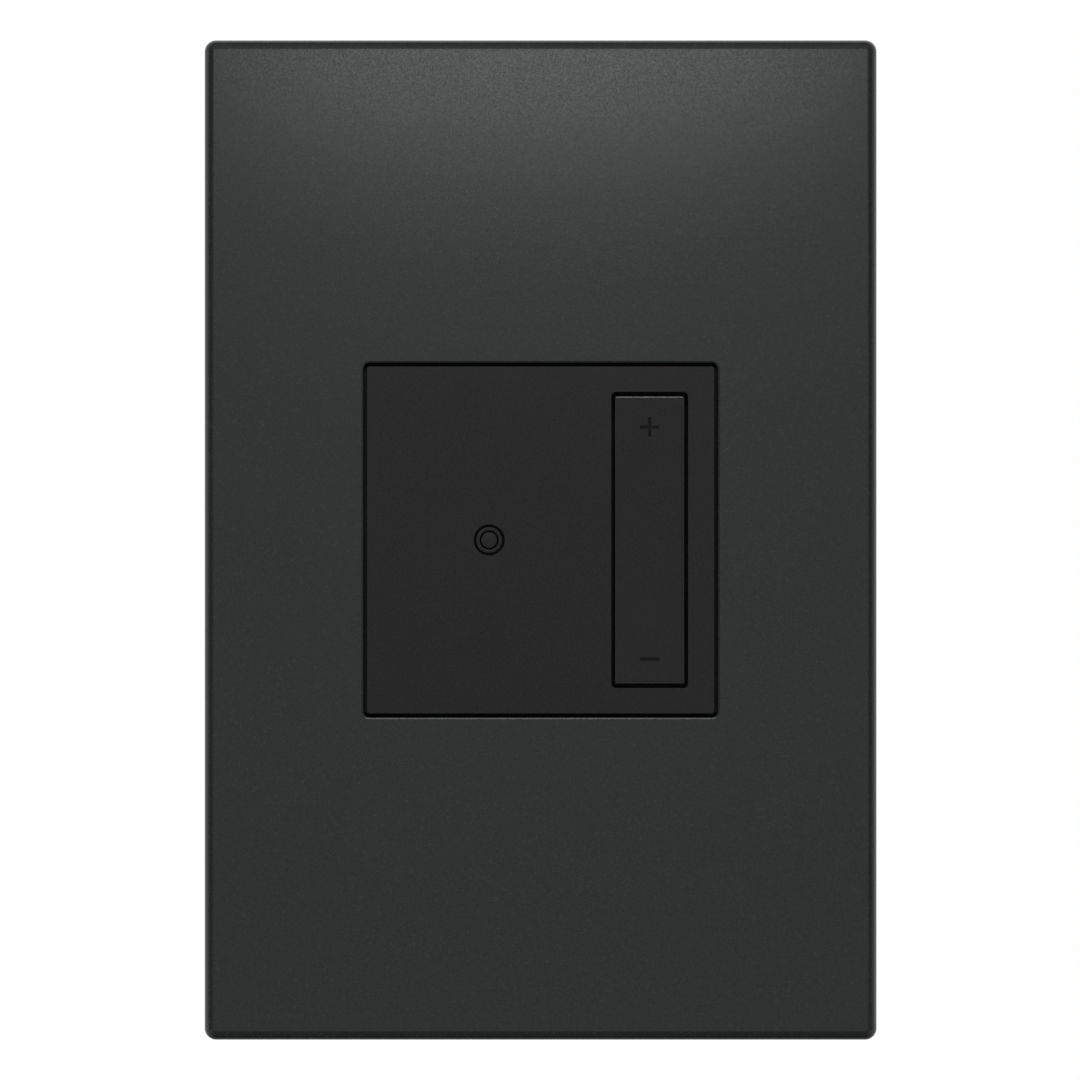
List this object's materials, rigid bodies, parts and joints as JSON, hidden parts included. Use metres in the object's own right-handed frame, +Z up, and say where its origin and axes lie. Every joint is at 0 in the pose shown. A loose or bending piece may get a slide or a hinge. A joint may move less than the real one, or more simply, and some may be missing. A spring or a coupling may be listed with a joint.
{
  "type": "wall dimmer switch",
  "caption": "Screwless wall dimmer: square tap plate with locator light and a raise/lower rocker, in a satin graphite wall plate over a single-gang device body.",
  "frame": {"origin": "midway between the two box screws, on the wall plane", "axes": "+Z up, +X to the right of someone facing the plate, -Y out of the wall towards that person"},
  "size_m": [0.0876, 0.0429, 0.1304],
  "materials": {
    "graphite_finish": "fine metallic flake, satin",
    "face_moulding": "fine matte texture",
    "light_ring": "fine matte",
    "light_lens": "smoked satin light pipe",
    "frame_moulding": "moulded, matte",
    "carrier_moulding": "moulded, satin",
    "housing_moulding": "spark-eroded texture, satin",
    "zinc_steel": "bright zinc plate",
    "pin_steel": "ground",
    "spring_steel": "drawn wire",
    "white_acetal": "satin",
    "switch_moulding": "satin",
    "board_laminate": "solder mask",
    "led_epoxy": "clear",
    "ferrite": "coated powder core",
    "copper_enamel": "enamelled copper",
    "capacitor_case": "moulded box",
    "capacitor_sleeve": "shrunk sleeve",
    "package_epoxy": "moulded epoxy",
    "insulator_film": "film",
    "sink_aluminium": "pressed sheet, satin",
    "fuse_ceramic": "ceramic",
    "varistor_lacquer": "dipped lacquer",
    "terminal_brass": "bright",
    "ground_green": "green passivated steel"
  },
  "bodies": {
    "device": {"wall_plate": "graphite_finish", "mounting_frame": "frame_moulding", "box_screws": "zinc_steel", "front_carrier": "carrier_moulding", "tap_hinge_pin": "pin_steel", "rocker_pin": "pin_steel", "indicator_ring": "light_ring", "indicator_lens": "light_lens", "tap_spring": "spring_steel", "raise_spring": "spring_steel", "lower_spring": "spring_steel", "tap_switch": "switch_moulding", "raise_switch": "switch_moulding", "lower_switch": "switch_moulding", "control_board": "board_laminate", "indicator_led": "led_epoxy", "microcontroller": "package_epoxy", "board_connector": "switch_moulding", "board_spacers": "white_acetal", "power_board": "board_laminate", "choke_core": "ferrite", "choke_winding": "copper_enamel", "filter_capacitor": "capacitor_case", "supply_capacitor": "capacitor_sleeve", "triac": "package_epoxy", "triac_insulator": "insulator_film", "triac_screw": "zinc_steel", "heat_sink": "sink_aluminium", "fuse": "fuse_ceramic", "surge_varistor": "varistor_lacquer", "rear_housing": "housing_moulding", "housing_screws": "zinc_steel", "terminal_plates": "terminal_brass", "terminal_clamps": "zinc_steel", "terminal_screws": "terminal_brass", "ground_screw": "ground_green"},
    "tap": {"tap_face": "face_moulding"},
    "rocker": {"dimmer_rocker": "face_moulding"},
    "tap_button": {"tap_plunger": "white_acetal"},
    "raise_button": {"raise_plunger": "white_acetal"},
    "lower_button": {"lower_plunger": "white_acetal"}
  },
  "joints": [
    {"name": "tap_press", "type": "hinge", "parent": "device", "child": "tap", "pos_m": [0, -0.0052, 0.019], "axis": [1, 0, 0], "range_deg": [0, 1.1], "stiffness_Nm_per_rad": 0.8, "springref_deg": -1.15, "deforming": ["tap_spring"]},
    {"name": "dimmer_rock", "type": "hinge", "parent": "device", "child": "rocker", "pos_m": [0.0142, -0.0049, 0], "axis": [1, 0, 0], "range_deg": [-2, 2], "stiffness_Nm_per_rad": 0.3, "deforming": ["raise_spring", "lower_spring"]},
    {"name": "tap_button_slide", "type": "slide", "parent": "device", "child": "tap_button", "axis": [0, 1, 0], "range_m": [0, 0.00065]},
    {"name": "raise_button_slide", "type": "slide", "parent": "device", "child": "raise_button", "axis": [0, 1, 0], "range_m": [-0.00046, 0.00046]},
    {"name": "lower_button_slide", "type": "slide", "parent": "device", "child": "lower_button", "axis": [0, 1, 0], "range_m": [-0.00046, 0.00046]}
  ],
  "couplings": [
    {"joint": "tap_button_slide", "follows": "tap_press", "m_per_rad": 0.033},
    {"joint": "raise_button_slide", "follows": "dimmer_rock", "m_per_rad": -0.013},
    {"joint": "lower_button_slide", "follows": "dimmer_rock", "m_per_rad": 0.013}
  ]
}
